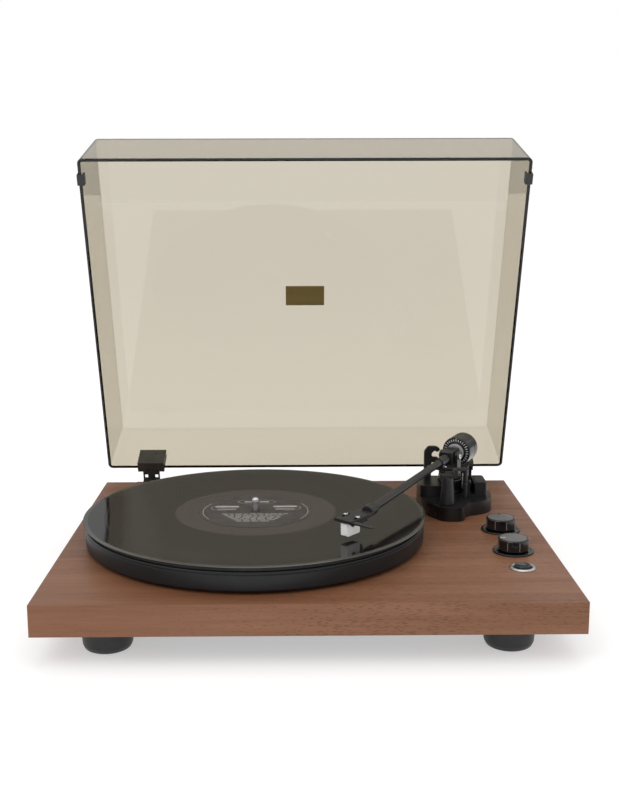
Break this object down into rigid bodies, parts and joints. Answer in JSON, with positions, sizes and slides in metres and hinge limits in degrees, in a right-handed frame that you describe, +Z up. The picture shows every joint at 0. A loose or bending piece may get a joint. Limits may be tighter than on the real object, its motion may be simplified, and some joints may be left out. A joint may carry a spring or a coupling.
{
  "type": "turntable record player",
  "caption": "Belt-drive record player with a walnut plinth, tonearm, control knobs and a hinged smoked dust cover standing open.",
  "frame": {"origin": "under the middle of the bounding box with the dust cover open, on the plane that the feet stand on", "axes": "+Z up, +X to the right seen from the front, +Y towards the hinges at the back"},
  "size_m": [0.4226, 0.4396, 0.4024],
  "materials": {
    "walnut": "satin walnut veneer",
    "black_plastic": "moulded, fine texture",
    "gloss_black": "gloss",
    "rubber": "matte",
    "vinyl": "grooved gloss",
    "smoked_acrylic": "clear, smoked",
    "steel": "bright",
    "brass": "turned",
    "platter_black": "satin black",
    "carbon": "satin carbon fibre",
    "ivory": "smooth",
    "board_green": "solder mask",
    "sheet_steel": "satin",
    "bronze_plate": "satin"
  },
  "bodies": {
    "root": {"plinth": "walnut", "bottom_cover": "sheet_steel", "foot_front_left": "rubber", "foot_front_right": "rubber", "foot_rear_left": "rubber", "foot_rear_right": "rubber", "bearing_housing": "brass", "drive_belt": "rubber", "motor": "steel", "control_board": "board_green", "phono_board": "board_green", "terminal_plate": "black_plastic", "rca_jack_left": "brass", "rca_jack_right": "brass", "ground_post": "steel", "dc_inlet": "black_plastic", "speed_knob_ring": "black_plastic", "speed_switch": "black_plastic", "mode_knob_ring": "black_plastic", "mode_switch": "black_plastic", "button_bezel": "steel", "tonearm_base": "black_plastic", "arm_rest": "black_plastic", "anti_skate_hook": "black_plastic", "lift_housing": "black_plastic", "hinge_bracket_left": "black_plastic", "hinge_bracket_right": "black_plastic", "hinge_pin_left": "steel", "hinge_pin_right": "steel"},
    "platter": {"platter": "platter_black", "platter_mat": "rubber", "record": "vinyl", "spindle": "steel"},
    "motor_pulley": {"motor_pulley": "brass"},
    "speed_knob": {"speed_knob": "gloss_black"},
    "mode_knob": {"mode_knob": "gloss_black"},
    "start_button": {"start_button": "gloss_black"},
    "cue_lever": {"cue_lever": "black_plastic"},
    "lift_platform": {"lift_platform": "steel"},
    "arm_yoke": {"arm_yoke": "black_plastic", "pivot_screw_left": "steel", "pivot_screw_right": "steel"},
    "tonearm": {"bearing_block": "black_plastic", "arm_tube": "carbon", "counterweight_stub": "steel", "headshell": "black_plastic", "finger_lift": "black_plastic", "cartridge": "black_plastic", "stylus_assembly": "ivory", "cartridge_screw_left": "steel", "cartridge_screw_right": "steel"},
    "weight_bush": {"weight_bush": "brass"},
    "counterweight": {"counterweight": "black_plastic"},
    "force_dial": {"force_dial": "sheet_steel"},
    "dust_cover": {"dust_cover": "smoked_acrylic", "cover_bumper_left": "rubber", "cover_bumper_right": "rubber", "name_plate": "bronze_plate", "hinge_clip_left": "black_plastic", "hinge_clip_right": "black_plastic"}
  },
  "joints": [
    {"name": "platter_spin", "type": "hinge", "parent": "root", "child": "platter", "pos_m": [-0.0457, -0.05354, 0.0492], "axis": [0, 0, 1], "continuous": true},
    {"name": "pulley_spin", "type": "hinge", "parent": "root", "child": "motor_pulley", "pos_m": [-0.13745, -0.11779, 0.0492], "axis": [0, 0, 1], "continuous": true},
    {"name": "speed_select", "type": "hinge", "parent": "root", "child": "speed_knob", "pos_m": [0.1753, -0.09884, 0.0492], "axis": [0, 0, 1], "range_deg": [-40, 40]},
    {"name": "mode_select", "type": "hinge", "parent": "root", "child": "mode_knob", "pos_m": [0.1753, -0.03834, 0.0492], "axis": [0, 0, 1], "range_deg": [-40, 40]},
    {"name": "start_press", "type": "slide", "parent": "root", "child": "start_button", "axis": [0, 0, -1], "range_m": [0, 0.001], "stiffness_N_per_m": 400},
    {"name": "tonearm_swing", "type": "hinge", "parent": "root", "child": "arm_yoke", "pos_m": [0.1403, 0.04946, 0.0972], "axis": [0, 0, 1], "range_deg": [-22, 18.4]},
    {"name": "cue_lever_turn", "type": "hinge", "parent": "root", "child": "cue_lever", "pos_m": [0.1593, 0.04546, 0.0702], "axis": [1, 0, 0], "range_deg": [0, 60.5]},
    {"name": "lift_slide", "type": "slide", "parent": "root", "child": "lift_platform", "axis": [0, 0, 1], "range_m": [-0.004, 0]},
    {"name": "tonearm_tilt", "type": "hinge", "parent": "arm_yoke", "child": "tonearm", "pos_m": [0.1403, 0.04946, 0.0972], "axis": [0.8796, -0.4756, 0], "range_deg": [0, 0.51]},
    {"name": "weight_travel", "type": "slide", "parent": "tonearm", "child": "weight_bush", "axis": [0.4753, 0.8791, 0.0349], "range_m": [-0.0025, 0.0025]},
    {"name": "weight_turn", "type": "hinge", "parent": "weight_bush", "child": "counterweight", "pos_m": [0.1403, 0.04946, 0.0972], "axis": [0.4753, 0.8791, 0.0349], "range_deg": [-362, 362]},
    {"name": "dial_turn", "type": "hinge", "parent": "weight_bush", "child": "force_dial", "pos_m": [0.1403, 0.04946, 0.0972], "axis": [0.4753, 0.8791, 0.0349], "continuous": true},
    {"name": "cover_hinge", "type": "hinge", "parent": "root", "child": "dust_cover", "pos_m": [0, 0.14546, 0.0416], "axis": [1, 0, 0], "range_deg": [0, 71.2]}
  ],
  "couplings": [
    {"joint": "pulley_spin", "follows": "platter_spin", "ratio": 11.323},
    {"joint": "cue_lever_turn", "follows": "lift_slide", "rad_per_m": -261.8},
    {"joint": "tonearm_tilt", "follows": "lift_slide", "rad_per_m": -2.1817},
    {"joint": "weight_turn", "follows": "weight_travel", "rad_per_m": 2513.3}
  ]
}
